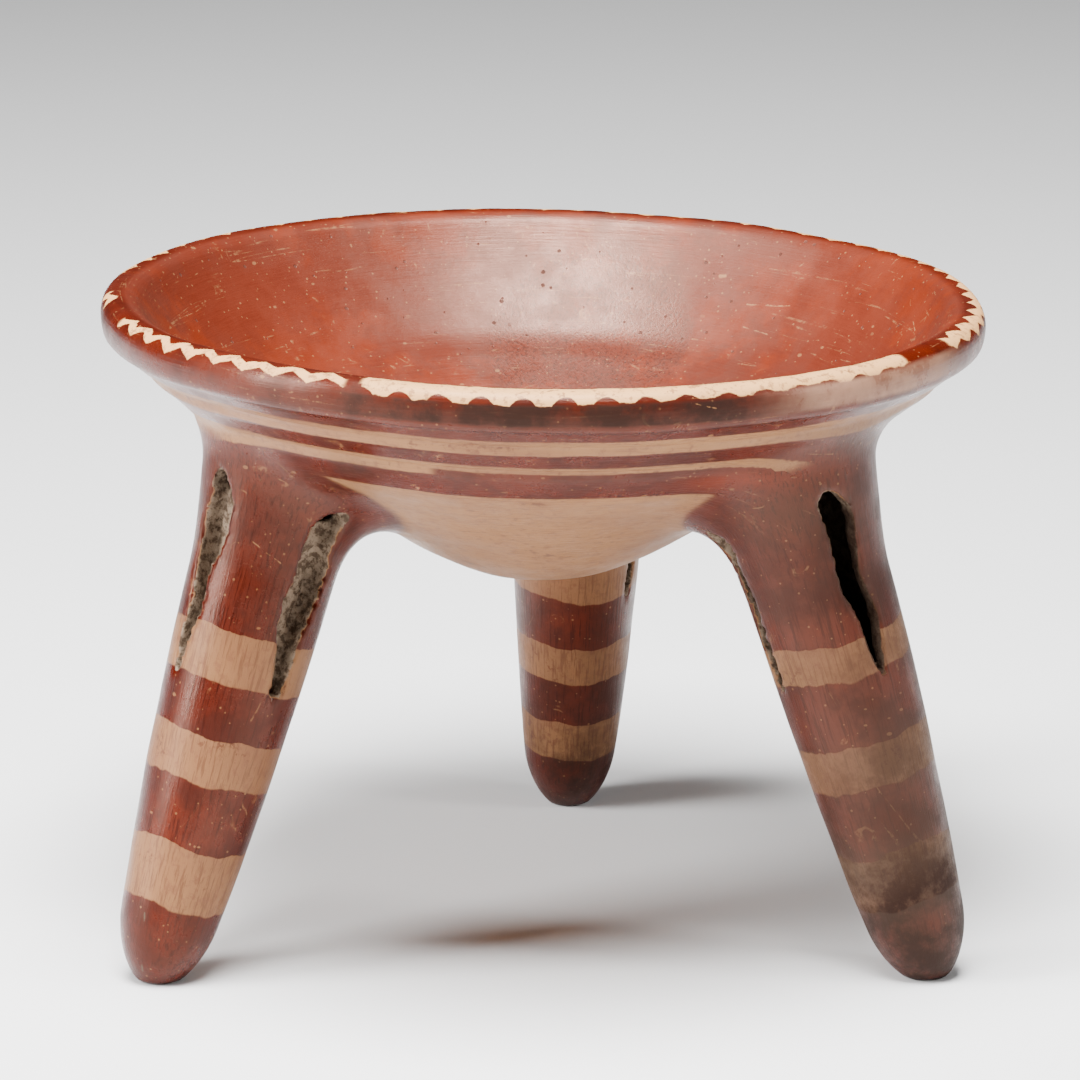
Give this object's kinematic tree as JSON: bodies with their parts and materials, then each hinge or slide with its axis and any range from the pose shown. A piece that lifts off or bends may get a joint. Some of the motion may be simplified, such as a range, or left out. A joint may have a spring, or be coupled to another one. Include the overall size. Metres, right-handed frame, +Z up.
{
  "type": "tripod bowl",
  "caption": "Painted clay bowl with a flaring bowl and rolled lip, standing on hollow tapering legs with long ragged slits.",
  "frame": {"origin": "on the ground, under the centre of the rim", "axes": "+Z up through the centre of the bowl, -Y towards the side seen in the picture, +X to its right"},
  "size_m": [0.2186, 0.2186, 0.1624],
  "materials": {
    "painted_clay": "burnished red and cream slip on fired earthenware"
  },
  "bodies": {
    "root": {"tripod_bowl": "painted_clay"}
  },
  "joints": []
}
